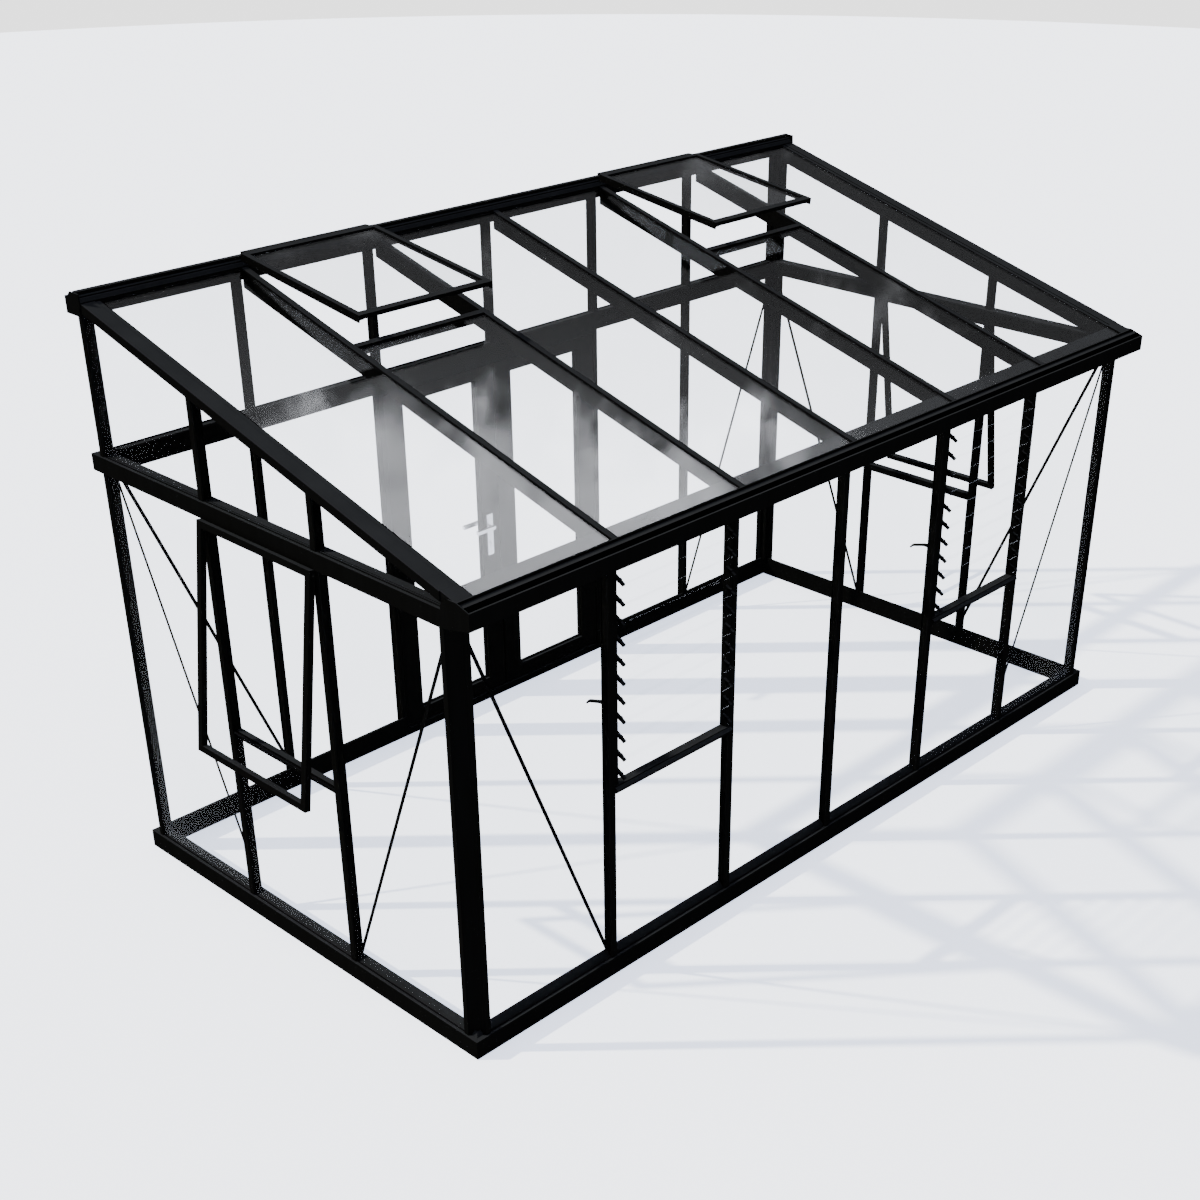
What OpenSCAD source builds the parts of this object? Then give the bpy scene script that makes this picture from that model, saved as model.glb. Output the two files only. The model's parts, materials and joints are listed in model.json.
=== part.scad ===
// Lean-to glass greenhouse: dark aluminium bars, clear panes, double door in the tall back wall.
// X runs along the building, -Y is the low gutter side, Z is up. The origin is on the ground, in the
// middle of the whole outline from the gutter lip to the outer door lever.

/* [Overall] */
// length of the base frame
base_l = 4400; // [3600:50:5200]
// depth of the base frame
base_w = 2266; // [1900:10:2700]
// underside of the mid rails and of the eave beam
eave_h = 1857; // [1500:1:2200]
// roof top plane above the eave height, measured over the front base face
roof_rise = 123; // [110:1:160]
// roof pitch in degrees
roof_pitch = 15.3; // [10:0.1:20]

/* [Base and bars] */
// base profile height
base_h = 84; // [60:1:120]
// base profile thickness
base_t = 50; // [45:1:60]
// rise of the sloping inner part of the base top
base_rise = 26; // [5:1:40]
// first bay line in from the base face
grid_in = 65.5; // [50:0.5:90]
// mullion width
mull_w = 29.5; // [20:0.5:45]
// mullion depth
mull_d = 44; // [30:1:60]
// mullion face behind the base face
mull_back = 8; // [4:1:15]
// height of the mid rails
rail_h = 72; // [50:1:100]
// depth of the side mid rails
rail_t = 70; // [54:1:80]
// depth of the back transom
transom_t = 52; // [40:1:70]
// how far the back transom hangs below the side rails
transom_drop = 18; // [5:1:25]
// corner post reach along each wall
post_l = 81.5; // [70:0.5:110]
// corner post depth
post_d = 68; // [50:1:80]
// width of the cut corner on the post
post_cut = 44; // [20:1:55]

/* [Glass] */
// pane thickness
pane_t = 4; // [3:0.5:6]
// pane face behind the mullion face
pane_back = 6; // [2:1:20]
// running gap at a pane edge
pane_gap = 0.3; // [0.2:0.1:1]

/* [Roof] */
// rafter fin width
rafter_w = 27; // [12:1:40]
// rafter depth under the roof plane
rafter_d = 81; // [50:1:110]
// rafter cap width
cap_w = 30; // [28:1:50]
// cap thickness
cap_t = 4; // [2:1:8]
// rake beam width
rake_w = 86; // [75:1:110]
// rake beam depth
rake_d = 38; // [25:1:60]
// width of the fin under the inner edge of the rake beam
rake_fin = 22; // [12:1:30]
// depth of the ridge beam
ridge_t = 98; // [90:1:140]
// ridge underside below the roof plane at the front face of the ridge
ridge_drop = 54.1; // [45:0.1:70]

/* [Openings] */
// roof vent bar width
vent_bar = 26; // [18:1:40]
// roof vent bar depth
vent_t = 20; // [12:1:26]
// roof vent reach down the slope
vent_len = 780; // [600:5:900]
// width of the low bar of a vent
vent_foot = 34; // [20:1:50]
// depth of the side bars of a vent
vent_side = 32; // [20:1:36]
// depth of the inner part of the side bars of a vent
vent_body = 22; // [20:1:36]
// roof vent angle from level
vent_tilt = 8.2; // [5:0.1:14]
// side window bar width
sash_bar = 29; // [20:1:45]
// side window bar depth
sash_t = 27; // [15:1:27]
// side window face in front of the base face
sash_out = 19.5; // [19.5:0.5:24]
// side window height
sash_h = 990; // [700:1:1100]
// side window swing in degrees
sash_open = 7.8; // [2:0.1:15]
// opening angle of the right side window, which stands a little wider
sash_open_right = 9.6; // [2:0.1:15]
// height of the window and louvre sills
sill_z = 872; // [600:1:1100]
// sill bar height
sill_h = 35; // [25:1:60]
// number of louvre blades
blades = 11; // [6:1:14]
// louvre blade width
blade_w = 84; // [60:1:84]
// louvre blade angle below level
blade_tilt = 31; // [10:1:60]
// width of the louvre side channels
channel_w = 18; // [10:1:30]

/* [Door] */
// door stile width
stile_w = 110; // [90:1:150]
// door leaf thickness
leaf_t = 40; // [25:1:42]
// leaf bottom above the ground
leaf_z = 44; // [42:1:80]
// gap between leaf and jamb
side_gap = 5; // [5:0.5:10]
// gap between the two leaves
meet_gap = 9; // [8.5:0.5:14]
// bottom rail height
foot_rail = 73; // [50:1:160]
// top rail height
head_rail = 62; // [40:1:120]
// door head bar height
head_h = 34; // [20:1:60]
// threshold height
step_h = 36; // [20:1:38]
// lever height above the ground
lever_z = 978; // [850:1:1150]
// spindle distance from the meeting edge
lever_in = 66; // [50:1:75]
// leaf and jamb face behind the base face
door_back = 2; // [1:1:10]

/* [Hidden] */
hx = base_l / 2;
bay_x = (base_l - 2 * grid_in) / 6;
bay_y = (base_w - 2 * grid_in) / 3;
slope = tan(roof_pitch);
roof_z0 = eave_h + roof_rise;
ridge_in = base_w - ridge_t;
ridge_z = roof_z0 + slope * ridge_in - ridge_drop;
seam = 0.3;
pane_in = mull_back + pane_back;
trough_y = -90;
lever_out = 42;
base_step = 20;
all_w = base_w - trough_y - door_back + lever_out;
front_y = -all_w / 2 - trough_y;
back_y = front_y + base_w;
mid_y = (front_y + back_y) / 2;
ridge_y = front_y + ridge_in;
glass_drop = 6;
eave_in = 60;
eave_front = -28;
mid_top = eave_h + rail_h;
jamb_face = bay_x - mull_w / 2;
leaf_w = jamb_face - side_gap - meet_gap / 2;
leaf_top = eave_h - head_h - side_gap;
leaf_h = leaf_top - leaf_z;
leaf_face = back_y - door_back;
knuckle_r = 6.5;
pin_r = 3;
pin_fit = 0.05;
hinge_off = 8;
hinge_x = jamb_face - side_gap / 2;
hinge_y = leaf_face + hinge_off;
spindle_r = 7;
lever_x = -meet_gap / 2 - lever_in;
back_top = eave_h - transom_drop;
louvre_bays = [1, 4];
vent_bays = [1, 4];
brace_w = 16;
brace_t = 2;

metal = [0.13, 0.14, 0.15];
clear = [0.75, 0.85, 0.88, 0.35];
steel = [0.75, 0.76, 0.78];

function gx(i) = -hx + grid_in + i * bay_x;
function gy(j) = front_y + grid_in + j * bay_y;
function roof(y) = roof_z0 + slope * (y - front_y);

// a box between two corners
module span(a, b) {
  translate(a) cube(b - a);
}

// base profile as depth from the outer face and height: flat in front, sloping up behind
module base_shape() {
  polygon([[0, 0], [base_t, 0], [base_t, base_h + base_rise], [base_t - 4, base_h + base_rise],
    [base_step, base_h], [0, base_h]]);
}

// the sloping part above the base height, a running gap larger, which is cut from what stands there
module slope_cut(len) {
  rotate([90, 0, 90]) linear_extrude(len) polygon([[base_step - seam, -1], [base_step - seam, 0],
    [base_t - 4 - seam, base_rise + seam], [base_t + 2, base_rise + seam], [base_t + 2, -1]]);
}

// mid rail profile as depth from the outer face and height
module wall_shape(h, t) {
  g = 0.4 * t;
  polygon([[0, 0], [t, 0], [t, h - 4], [t - 3, h - 4], [t - 3, h], [g + 3, h], [g + 3, h - 3],
    [g, h - 3], [g, h], [0, h]]);
}

// bar along +X from 0 to len, outer face at y = 0, inside towards +Y
module wall_bar(len, h, t) {
  rotate([90, 0, 90]) linear_extrude(len) wall_shape(h, t);
}

module mitre_left(t, h) {
  translate([0, 0, -1]) linear_extrude(h + 2) polygon([[-1, -1], [-1, t + 2], [t + 2, t + 2]]);
}

// base side: bar with both ends cut at 45 degrees, centred on X
module base_side(len) {
  difference() {
    translate([-len / 2, 0, 0]) rotate([90, 0, 90]) linear_extrude(len) base_shape();
    translate([-len / 2 + seam / 2, 0, 0]) mitre_left(base_t, base_h + base_rise);
    mirror([1, 0, 0]) translate([-len / 2 + seam / 2, 0, 0]) mitre_left(base_t, base_h + base_rise);
  }
}

module base_front() {
  color(metal) translate([0, front_y, 0]) base_side(base_l);
}

module base_back() {
  color(metal) difference() {
    translate([0, back_y, 0]) rotate([0, 0, 180]) base_side(base_l);
    span([-jamb_face, back_y - base_t - 1, -1], [jamb_face, back_y + 1, base_h + base_rise + 1]);
  }
}

module base_left() {
  color(metal) translate([-hx, mid_y, 0]) rotate([0, 0, -90]) base_side(base_w);
}

module base_right() {
  color(metal) translate([hx, mid_y, 0]) rotate([0, 0, 90]) base_side(base_w);
}

module door_threshold() {
  color(metal) span([-jamb_face + seam, back_y - base_t, 0], [jamb_face - seam, back_y, step_h]);
}

// corner post plan with its outer corner at the origin, walls along +X and +Y
module post_shape() {
  polygon([[mull_back, post_cut + mull_back + 6], [mull_back + 6, post_cut + mull_back + 6],
    [mull_back + 12, post_cut + mull_back], [post_cut + mull_back, mull_back + 12],
    [post_cut + mull_back + 6, mull_back + 6], [post_cut + mull_back + 6, mull_back],
    [post_l, mull_back], [post_l, mull_back + 30], [post_d, mull_back + 36], [post_d, post_d],
    [mull_back + 36, post_d], [mull_back + 30, post_l], [mull_back, post_l]]);
}

module corner_post(h) {
  linear_extrude(h) post_shape();
}

// corner post that stands on the base, cut to the base's two slopes
module base_post(h) {
  difference() {
    corner_post(h);
    slope_cut(post_l + 2);
    mirror([1, -1, 0]) slope_cut(post_l + 2);
  }
}

module corner_post_front_left() {
  color(metal) translate([-hx, front_y, base_h]) base_post(eave_h - base_h);
}

module corner_post_front_right() {
  color(metal) mirror([1, 0, 0]) translate([-hx, front_y, base_h]) base_post(eave_h - base_h);
}

module corner_post_back_left() {
  color(metal) mirror([0, 1, 0]) translate([-hx, -back_y, base_h]) base_post(eave_h - base_h);
}

module corner_post_back_right() {
  color(metal) mirror([1, 0, 0]) mirror([0, 1, 0]) translate([-hx, -back_y, base_h])
    base_post(eave_h - base_h);
}

// mullion plan: outer face at y = 0, inside towards +Y, a nose in front and a fin behind
module mull_shape() {
  w = mull_w / 2;
  polygon([[-w, 0], [w, 0], [w, 5], [w - 4, 5], [w - 4, mull_d - 4], [w, mull_d - 4], [w, mull_d],
    [-w, mull_d], [-w, mull_d - 4], [-w + 4, mull_d - 4], [-w + 4, 5], [-w, 5]]);
}

module mull_bar(h) {
  linear_extrude(h) mull_shape();
}

// mullion that stands on the base, cut to the slope
module base_mull(h) {
  difference() {
    mull_bar(h);
    translate([-mull_w, -mull_back, 0]) slope_cut(2 * mull_w);
  }
}

module front_mullions() {
  color(metal) for (i = [1:5])
    translate([gx(i), front_y + mull_back, base_h]) base_mull(eave_h - base_h);
}

module side_wall_mullions() {
  color(metal) for (s = [-1, 1], j = [1, 2])
    translate([s * (hx - mull_back), gy(j), base_h]) rotate([0, 0, s * 90]) base_mull(eave_h - base_h);
}

module back_wall_mullions() {
  color(metal) for (i = [1, 5])
    translate([gx(i), back_y - mull_back, base_h]) rotate([0, 0, 180]) base_mull(back_top - base_h);
}

// plain square jambs so that the leaves shut against a flat side
module door_jambs() {
  color(metal) for (s = [-1, 1]) difference() {
    translate([s * bay_x - mull_w / 2, leaf_face - mull_d, base_h])
      cube([mull_w, mull_d, back_top - base_h]);
    translate([s * bay_x + mull_w, back_y, base_h]) rotate([0, 0, 180]) slope_cut(2 * mull_w);
  }
}

module door_head() {
  color(metal) span([-jamb_face + seam, leaf_face - mull_d, eave_h - head_h],
    [jamb_face - seam, leaf_face, back_top]);
}

// side mid rails butt on the eave beam in front and run to the back face
module side_mid_rails() {
  color(metal) for (s = [-1, 1]) intersection() {
    translate([s * hx, front_y + eave_in + (s > 0 ? 0 : base_w - eave_in), eave_h])
      rotate([0, 0, s * 90]) wall_bar(base_w - eave_in, rail_h, rail_t);
    span([-hx, front_y, 0], [hx, back_y, 9000]);
  }
}

module back_transom() {
  color(metal) {
    translate([hx - rail_t - seam, back_y, eave_h]) rotate([0, 0, 180])
      wall_bar(base_l - 2 * rail_t - 2 * seam, rail_h, transom_t);
    span([-hx + post_l + seam, back_y - transom_t, back_top], [hx - post_l - seam, back_y, eave_h]);
  }
}

module gable_mullions() {
  color(metal) for (s = [-1, 1], j = [1, 2]) difference() {
    translate([s * (hx - mull_back), gy(j), mid_top]) rotate([0, 0, s * 90]) mull_bar(700);
    above_rake(s);
  }
}

// everything over the underside of the rake beams
module above_rake(s) {
  on_roof() translate([-base_l, -500, -rake_d - seam]) cube([2 * base_l, 4000, 900]);
}

module on_roof() {
  translate([0, front_y, roof_z0]) rotate([roof_pitch, 0, 0]) children();
}

module back_upper_mullions() {
  color(metal) for (i = [1:5])
    translate([gx(i), back_y - mull_back, mid_top]) rotate([0, 0, 180]) mull_bar(ridge_z - mid_top);
}

module upper_corner_posts() {
  color(metal) for (s = [-1, 1]) difference() {
    scale_x(s) translate([-hx, back_y, mid_top]) mirror([0, 1, 0]) corner_post(ridge_z - mid_top);
    above_rake(s);
  }
}

module scale_x(s) {
  if (s < 0) children(); else mirror([1, 0, 0]) children();
}

// eave beam: glass seat on top, upstand in front, open trough in front of that
module eave_beam() {
  seat_out = roof(front_y + eave_front + 6) - 11;
  seat_in = roof(front_y + eave_in) - 11;
  color(metal) translate([-hx + 4 + seam, front_y, 0]) rotate([90, 0, 90])
    linear_extrude(base_l - 8 - 2 * seam) polygon([[eave_front, eave_h + 20], [8, eave_h + 10],
      [8, eave_h], [eave_in, eave_h], [eave_in, seat_in], [eave_front + 6, seat_out],
      [eave_front + 6, roof_z0 - 1], [eave_front, roof_z0 - 1]]);
}

module gutter() {
  w = 3;
  low = eave_h + 32;
  top = roof_z0 - 12;
  color(metal) translate([-hx + 4 + seam, front_y, 0]) rotate([90, 0, 90])
    linear_extrude(base_l - 8 - 2 * seam) polygon([[trough_y, low], [eave_front - seam, eave_h + 20],
      [eave_front - seam, top], [eave_front - seam - 29, top], [eave_front - seam - 29, top - w],
      [eave_front - seam - w, top - w],
      [eave_front - seam - w, eave_h + 24], [trough_y + w, low + w], [trough_y + w, low + 66],
      [trough_y + 8, low + 66], [trough_y + 8, low + 69], [trough_y, low + 69]]);
}

module gutter_end_caps() {
  color(metal) for (s = [-1, 1]) scale_x(s) translate([-hx, front_y, 0]) rotate([90, 0, 90])
    linear_extrude(4) polygon([[eave_in - seam, eave_h - 1], [trough_y, eave_h + 32],
      [trough_y, eave_h + 101], [-25, roof_z0 - 1], [16, roof_z0 - 1], [54, roof_z0 - 23],
      [eave_in - seam, roof_z0 - 40]]);
}

module rake_beams() {
  color(metal) for (s = [-1, 1]) scale_x(s) difference() {
    on_roof() {
      translate([-hx, 0, -rake_d]) cube([rake_w - rake_fin, 2600, rake_d]);
      translate([-hx + rake_w - rake_fin, 0, -rafter_d]) cube([rake_fin, 2600, rafter_d - 3]);
    }
    span([-hx - 1, front_y - 1, 0], [-hx + rail_t + seam, back_y, mid_top + seam]);
    span([-hx - 1, front_y - 500, 0], [hx, front_y + eave_in + seam, 5000]);
    span([-hx - 1, ridge_y - 8, 0], [hx, back_y + 2000, 5000]);
  }
}

// short pieces that close the rake over the eave beam
module rake_shoes() {
  color(metal) for (s = [-1, 1]) scale_x(s) difference() {
    on_roof() translate([-hx + 4 + seam, -300, -10]) cube([rake_w - 4 - seam, 700, 10]);
    span([-hx - 1, front_y - 600, 0], [hx, front_y + eave_front + 6 + seam, 5000]);
    span([-hx - 1, front_y + eave_in, 0], [hx, back_y + 2000, 5000]);
  }
}

module ridge_beam() {
  u = ridge_in;
  z = ridge_z;
  b = base_w;
  color(metal) translate([-hx, front_y, 0]) rotate([90, 0, 90]) linear_extrude(base_l)
    polygon([[u, z], [b, z], [b, z + 69], [b - 14, z + 69], [b - 16, z + 64], [b - 24, z + 64],
      [b - 26, z + 70], [b - 54, z + 71], [b - 57, z + 96], [b - 76, z + 94], [b - 77, z + 80],
      [b - 86, z + 76], [b - 88, z + 71], [b - 92, z + 69], [u - 6, z + 56], [u - 8, z + 41],
      [u, z + 29]]);
}

// plates that close both ends of the ridge beam
module ridge_end_caps() {
  u = ridge_in;
  z = ridge_z;
  b = base_w;
  color(metal) for (s = [-1, 1]) scale_x(s) translate([-hx - 5 - seam, front_y, 0])
    rotate([90, 0, 90]) linear_extrude(5) polygon([[u, z], [b, z], [b, z + 70], [b - 20, z + 72],
      [b - 40, z + 92], [u - 5, z + 91], [u - 8, z + 41], [u, z + 29]]);
}

module rafters() {
  color(metal) for (i = [1:5]) difference() {
    on_roof() {
      translate([gx(i) - rafter_w / 2, 0, -rafter_d]) cube([rafter_w, 2600, rafter_d - 1]);
      translate([gx(i) - cap_w / 2, -200, -cap_t]) cube([cap_w, 2900, cap_t]);
    }
    span([-hx, front_y - 900, 0], [hx, front_y + eave_front + 6 + seam, 5000]);
    difference() {
      span([-hx, front_y - 1, 0], [hx, front_y + eave_in + seam, 5000]);
      on_roof() translate([-hx, -500, -cap_t]) cube([base_l, 1000, 100]);
    }
    span([-hx, ridge_y - 8, 0], [hx, back_y + 2000, 5000]);
  }
}

// low bar that closes the roof glass under the open end of each vent
module vent_trimmers() {
  color(metal) for (i = vent_bays) on_roof() {
    translate([gx(i) + rafter_w / 2 + seam, trim_s, -37]) cube([bay_x - rafter_w - 2 * seam, 42, 29]);
    translate([gx(i) + cap_w / 2 + seam, trim_s + 8, -8 - seam]) cube([bay_x - cap_w - 2 * seam, 26, 10]);
  }
}

blade_first = sill_z + sill_h + 35;
sill_in = 25;
trim_s = (base_w - 830) / cos(roof_pitch);
vent_y = ridge_y + 3;
vent_z = ridge_z + 108;
strip_z = ridge_z + 96 + seam;
vent_w = bay_x + 4;
sash_w = bay_y + 10;
sash_top = eave_h - seam;
strip_y = vent_y + (vent_z - strip_z) * tan(vent_tilt) + seam;

// four bars around a pane, X along, Y up the frame, outer face at z = 0
module ring(w, len, bar, foot, side_t, body_t, t) {
  for (s = [-1, 1]) {
    translate([s * (w - bar) / 2, len / 2, -body_t / 2]) cube([bar, len, body_t], center = true);
    translate([s * (w - 6) / 2, len / 2, -side_t / 2]) cube([6, len, side_t], center = true);
  }
  translate([0, foot / 2, -t / 2]) cube([w - 2 * bar - 2 * seam, foot, t], center = true);
  translate([0, len - bar / 2, -t / 2]) cube([w - 2 * bar - 2 * seam, bar, t], center = true);
}

module vent_place(i) {
  translate([gx(i) + bay_x / 2, vent_y, vent_z]) rotate([vent_tilt, 0, 0]) translate([0, -vent_len, 0])
    children();
}

module roof_vent_left() {
  color(metal) vent_place(vent_bays[0]) ring(vent_w, vent_len, vent_bar, vent_foot, vent_side,
    vent_body, vent_t);
}

module roof_vent_right() {
  color(metal) vent_place(vent_bays[1]) ring(vent_w, vent_len, vent_bar, vent_foot, vent_side,
    vent_body, vent_t);
}

module vent_glass() {
  len = vent_len - vent_bar - vent_foot - 2 * seam;
  color(clear) for (i = vent_bays) vent_place(i)
    translate([0, vent_foot + seam + len / 2, -6 - pane_t / 2])
      cube([vent_w - 2 * vent_bar - 2 * seam, len, pane_t], center = true);
}

// hinge strips that carry the vents on the ridge
module vent_hinge_strips() {
  color(metal) for (i = vent_bays)
    span([gx(i) + 20, strip_y, strip_z], [gx(i) + bay_x - 20, back_y - 58, vent_z - 2]);
}

// window sash hung under the mid rail, drawn for the left wall, swung outwards
module sash_place(s) {
  scale_x(s) translate([-hx, mid_y, sash_top]) rotate([0, s > 0 ? sash_open_right : sash_open, 0])
    rotate([90, 0, -90]) translate([0, -sash_h, sash_out]) children();
}

module side_window_sashes() {
  color(metal) for (s = [-1, 1]) sash_place(s)
    ring(sash_w, sash_h, sash_bar, sash_bar, sash_t, sash_t, sash_t);
}

module side_window_glass() {
  color(clear) for (s = [-1, 1]) sash_place(s) translate([0, sash_h / 2, -sash_t / 2])
    cube([sash_w - 2 * sash_bar - 2 * seam, sash_h - 2 * sash_bar - 2 * seam, pane_t], center = true);
}

module side_window_sills() {
  color(metal) for (s = [-1, 1]) scale_x(s)
    span([-hx + sill_in, gy(1) + mull_w / 2 + seam, sill_z],
      [-hx + mull_back + mull_d, gy(2) - mull_w / 2 - seam, sill_z + sill_h]);
}

module louvre_frames() {
  h = eave_h - sill_z - sill_h - 2 * seam;
  color(metal) for (i = louvre_bays) {
    for (k = [0, 1]) translate([gx(i) + k * bay_x + (k > 0 ? -1 : 1) * (mull_w / 2 + seam + channel_w / 2),
      front_y + mull_back + 20, sill_z + sill_h + seam + h / 2]) cube([channel_w, 36, h], center = true);
    span([gx(i) + mull_w / 2 + seam, front_y + 4, sill_z],
      [gx(i + 1) - mull_w / 2 - seam, front_y + mull_back + mull_d - 8, sill_z + sill_h]);
    translate([gx(i) + mull_w / 2 - 6, front_y, sill_z + sill_h]) rotate([90, 0, 90])
      linear_extrude(bay_x - mull_w + 12) polygon([[-10, -21], [-10, -14], [4, -5], [mull_back - 1, -5],
        [mull_back - 1, -21]]);
  }
}

module louvre_blades() {
  room = eave_h - 80 - blade_first;
  w = bay_x - mull_w - 2 * channel_w - 4 * seam;
  color(clear) for (i = louvre_bays, n = [0:blades - 1])
    translate([gx(i) + bay_x / 2, front_y - 18, blade_first + n * room / (blades - 1)])
      rotate([blade_tilt, 0, 0]) translate([-w / 2, 0, -pane_t / 2]) cube([w, blade_w, pane_t]);
}

// hand lever on the inner side of the left channel, which opens the blades
module louvre_levers() {
  y = mull_back + 38 + seam;
  z = (sill_z + sill_h + eave_h) / 2 - 146;
  color(metal) for (i = louvre_bays)
    translate([gx(i) + mull_w / 2 + seam + 3, front_y, z]) rotate([90, 0, 90]) linear_extrude(12)
      polygon([[y, -24], [y, 34], [y + 8, 34], [y + 14, 22], [95, 19], [158, 0], [171, -16], [166, -20],
        [154, -9], [95, 8], [y + 14, 8], [y + 8, -24]]);
}

// flat strip on the inner side of the bars, from the head of a corner post to the foot of the next
// mullion; drawn in the wall plane with the corner at x = 0, and cut to the frame
module brace(bay) {
  x0 = post_d + 2;
  x1 = grid_in + bay + 6;
  run = x1 - x0;
  rise = eave_h + 5 - base_h;
  intersection() {
    translate([x0, 0, eave_h + 5]) rotate([0, atan2(rise, run), 0]) translate([-60, 0, -brace_w / 2])
      cube([sqrt(run * run + rise * rise) + 120, brace_t, brace_w]);
    span([post_d + seam, 0, base_h + seam], [grid_in + bay + mull_w / 2, brace_t, back_top - seam]);
  }
}

module corner_braces() {
  y = mull_back + mull_d + seam;
  color(metal) for (s = [-1, 1]) scale_x(s) {
    translate([-hx, front_y + y, 0]) brace(bay_x);
    translate([-hx, back_y - y - brace_t, 0]) brace(bay_x);
    translate([-hx + y + brace_t, front_y, 0]) rotate([0, 0, 90]) brace(bay_y);
    translate([-hx + y, back_y, 0]) rotate([0, 0, -90]) brace(bay_y);
  }
}

// pane in a front bay between two heights
module front_pane(i, z0, z1) {
  x0 = (i == 0 ? -hx + post_l : gx(i) + mull_w / 2 - 4) + pane_gap;
  x1 = (i == 5 ? hx - post_l : gx(i + 1) - mull_w / 2 + 4) - pane_gap;
  span([x0, front_y + pane_in, z0 + pane_gap], [x1, front_y + pane_in + pane_t, z1 - pane_gap]);
}

module front_glass() {
  color(clear) for (i = [0:5])
    front_pane(i, base_h, (i == louvre_bays[0] || i == louvre_bays[1]) ? sill_z : eave_h);
}

module back_pane(i, z0, z1) {
  x0 = (i == 0 ? -hx + post_l : gx(i) + mull_w / 2 - 4) + pane_gap;
  x1 = (i == 5 ? hx - post_l : gx(i + 1) - mull_w / 2 + (i == 1 && z0 < 500 ? 0 : 4)) - pane_gap;
  span([x0 + (i == 4 && z0 < 500 ? 4 : 0), back_y - pane_in - pane_t, z0 + pane_gap],
    [x1, back_y - pane_in, z1 - pane_gap]);
}

module back_glass() {
  color(clear) {
    for (i = [0, 1, 4, 5]) back_pane(i, base_h, back_top);
    for (i = [0:5]) back_pane(i, mid_top, ridge_z);
  }
}

module side_pane(j, z0, z1) {
  y0 = (j == 0 ? front_y + post_l : gy(j) + mull_w / 2 - 4) + pane_gap;
  y1 = (j == 2 ? back_y - post_l : gy(j + 1) - mull_w / 2 + 4) - pane_gap;
  span([-hx + pane_in, y0, z0 + pane_gap], [-hx + pane_in + pane_t, y1, z1 - pane_gap]);
}

// gable panes run under the rake, so their tops are cut to its slope
module end_wall_glass() {
  for (j = [0, 2]) side_pane(j, base_h, eave_h);
  side_pane(1, base_h, sill_z + sill_h - 4);
  difference() {
    union() {
      for (j = [1, 2]) side_pane(j, mid_top, ridge_z + 60);
      span([-hx + pane_in, front_y + eave_in + 6, mid_top + pane_gap],
        [-hx + pane_in + pane_t, gy(1) - mull_w / 2 + 4 - pane_gap, ridge_z]);
    }
    above_rake(-1);
    span([-hx - 1, ridge_y - 10, ridge_z - seam], [0, back_y, 5000]);
  }
}

module left_wall_glass() {
  color(clear) end_wall_glass();
}

module right_wall_glass() {
  color(clear) mirror([1, 0, 0]) end_wall_glass();
}

module roof_glass() {
  color(clear) difference() {
    on_roof() for (i = [0:5]) {
      x0 = (i == 0 ? -hx + rake_w : gx(i) + rafter_w / 2) + pane_gap;
      x1 = (i == 5 ? hx - rake_w : gx(i + 1) - rafter_w / 2) - pane_gap;
      top = (i == vent_bays[0] || i == vent_bays[1]) ? trim_s - seam : 2600;
      translate([x0, -200, -glass_drop - pane_t + 1]) cube([x1 - x0, 200 + top, pane_t]);
    }
    span([-hx, front_y - 900, 0], [hx, front_y + eave_front + 6 + seam, 5000]);
    span([-hx, ridge_y - 8 - seam, 0], [hx, back_y + 2000, 5000]);
  }
}

// one leaf with its hinge edge at x = 0, running to x = leaf_w, outer face at y = 0, foot at z = 0
module leaf_frame(lock) {
  difference() {
    union() {
      translate([0, -leaf_t, 0]) cube([stile_w, leaf_t, leaf_h]);
      translate([leaf_w - stile_w, -leaf_t, 0]) cube([stile_w, leaf_t, leaf_h]);
      translate([stile_w + seam, -leaf_t, 0]) cube([leaf_w - 2 * stile_w - 2 * seam, leaf_t, foot_rail]);
      translate([stile_w + seam, -leaf_t, leaf_h - head_rail])
        cube([leaf_w - 2 * stile_w - 2 * seam, leaf_t, head_rail]);
    }
    if (lock) translate([leaf_w - lever_in, 1, lever_z - leaf_z]) rotate([90, 0, 0])
      cylinder(r = spindle_r + pin_fit, h = leaf_t + 2, $fn = 48);
  }
}

module leaf_pane() {
  translate([stile_w + seam, -leaf_t / 2 - pane_t / 2, foot_rail + seam])
    cube([leaf_w - 2 * stile_w - 2 * seam, pane_t, leaf_h - foot_rail - head_rail - 2 * seam]);
}

module left_leaf_place() {
  translate([-jamb_face + side_gap, leaf_face, leaf_z]) children();
}

module right_leaf_place() {
  translate([jamb_face - side_gap, leaf_face, leaf_z]) mirror([1, 0, 0]) children();
}

module left_door_frame() {
  color(metal) left_leaf_place() leaf_frame(true);
}

module right_door_frame() {
  color(metal) right_leaf_place() leaf_frame(false);
}

module left_door_glass() {
  color(clear) left_leaf_place() leaf_pane();
}

module right_door_glass() {
  color(clear) right_leaf_place() leaf_pane();
}

hinge_z = [leaf_z + 190, leaf_z + leaf_h / 2, leaf_top - 190];

// leaf half of a hinge: upper knuckle with a bore, and a strap on the leaf face
module leaf_hinges(s) {
  for (z = hinge_z) difference() {
    union() {
      translate([s * hinge_x, hinge_y, z + seam]) cylinder(r = knuckle_r, h = 40, $fn = 48);
      scale_x(s) span([-hinge_x + 3, leaf_face, z + seam], [-hinge_x + 36, leaf_face + 3.5, z + 40]);
    }
    translate([s * hinge_x, hinge_y, z - 1]) cylinder(r = pin_r + pin_fit, h = 33, $fn = 48);
  }
}

module left_door_hinges() {
  color(metal) leaf_hinges(-1);
}

module right_door_hinges() {
  color(metal) leaf_hinges(1);
}

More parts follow.
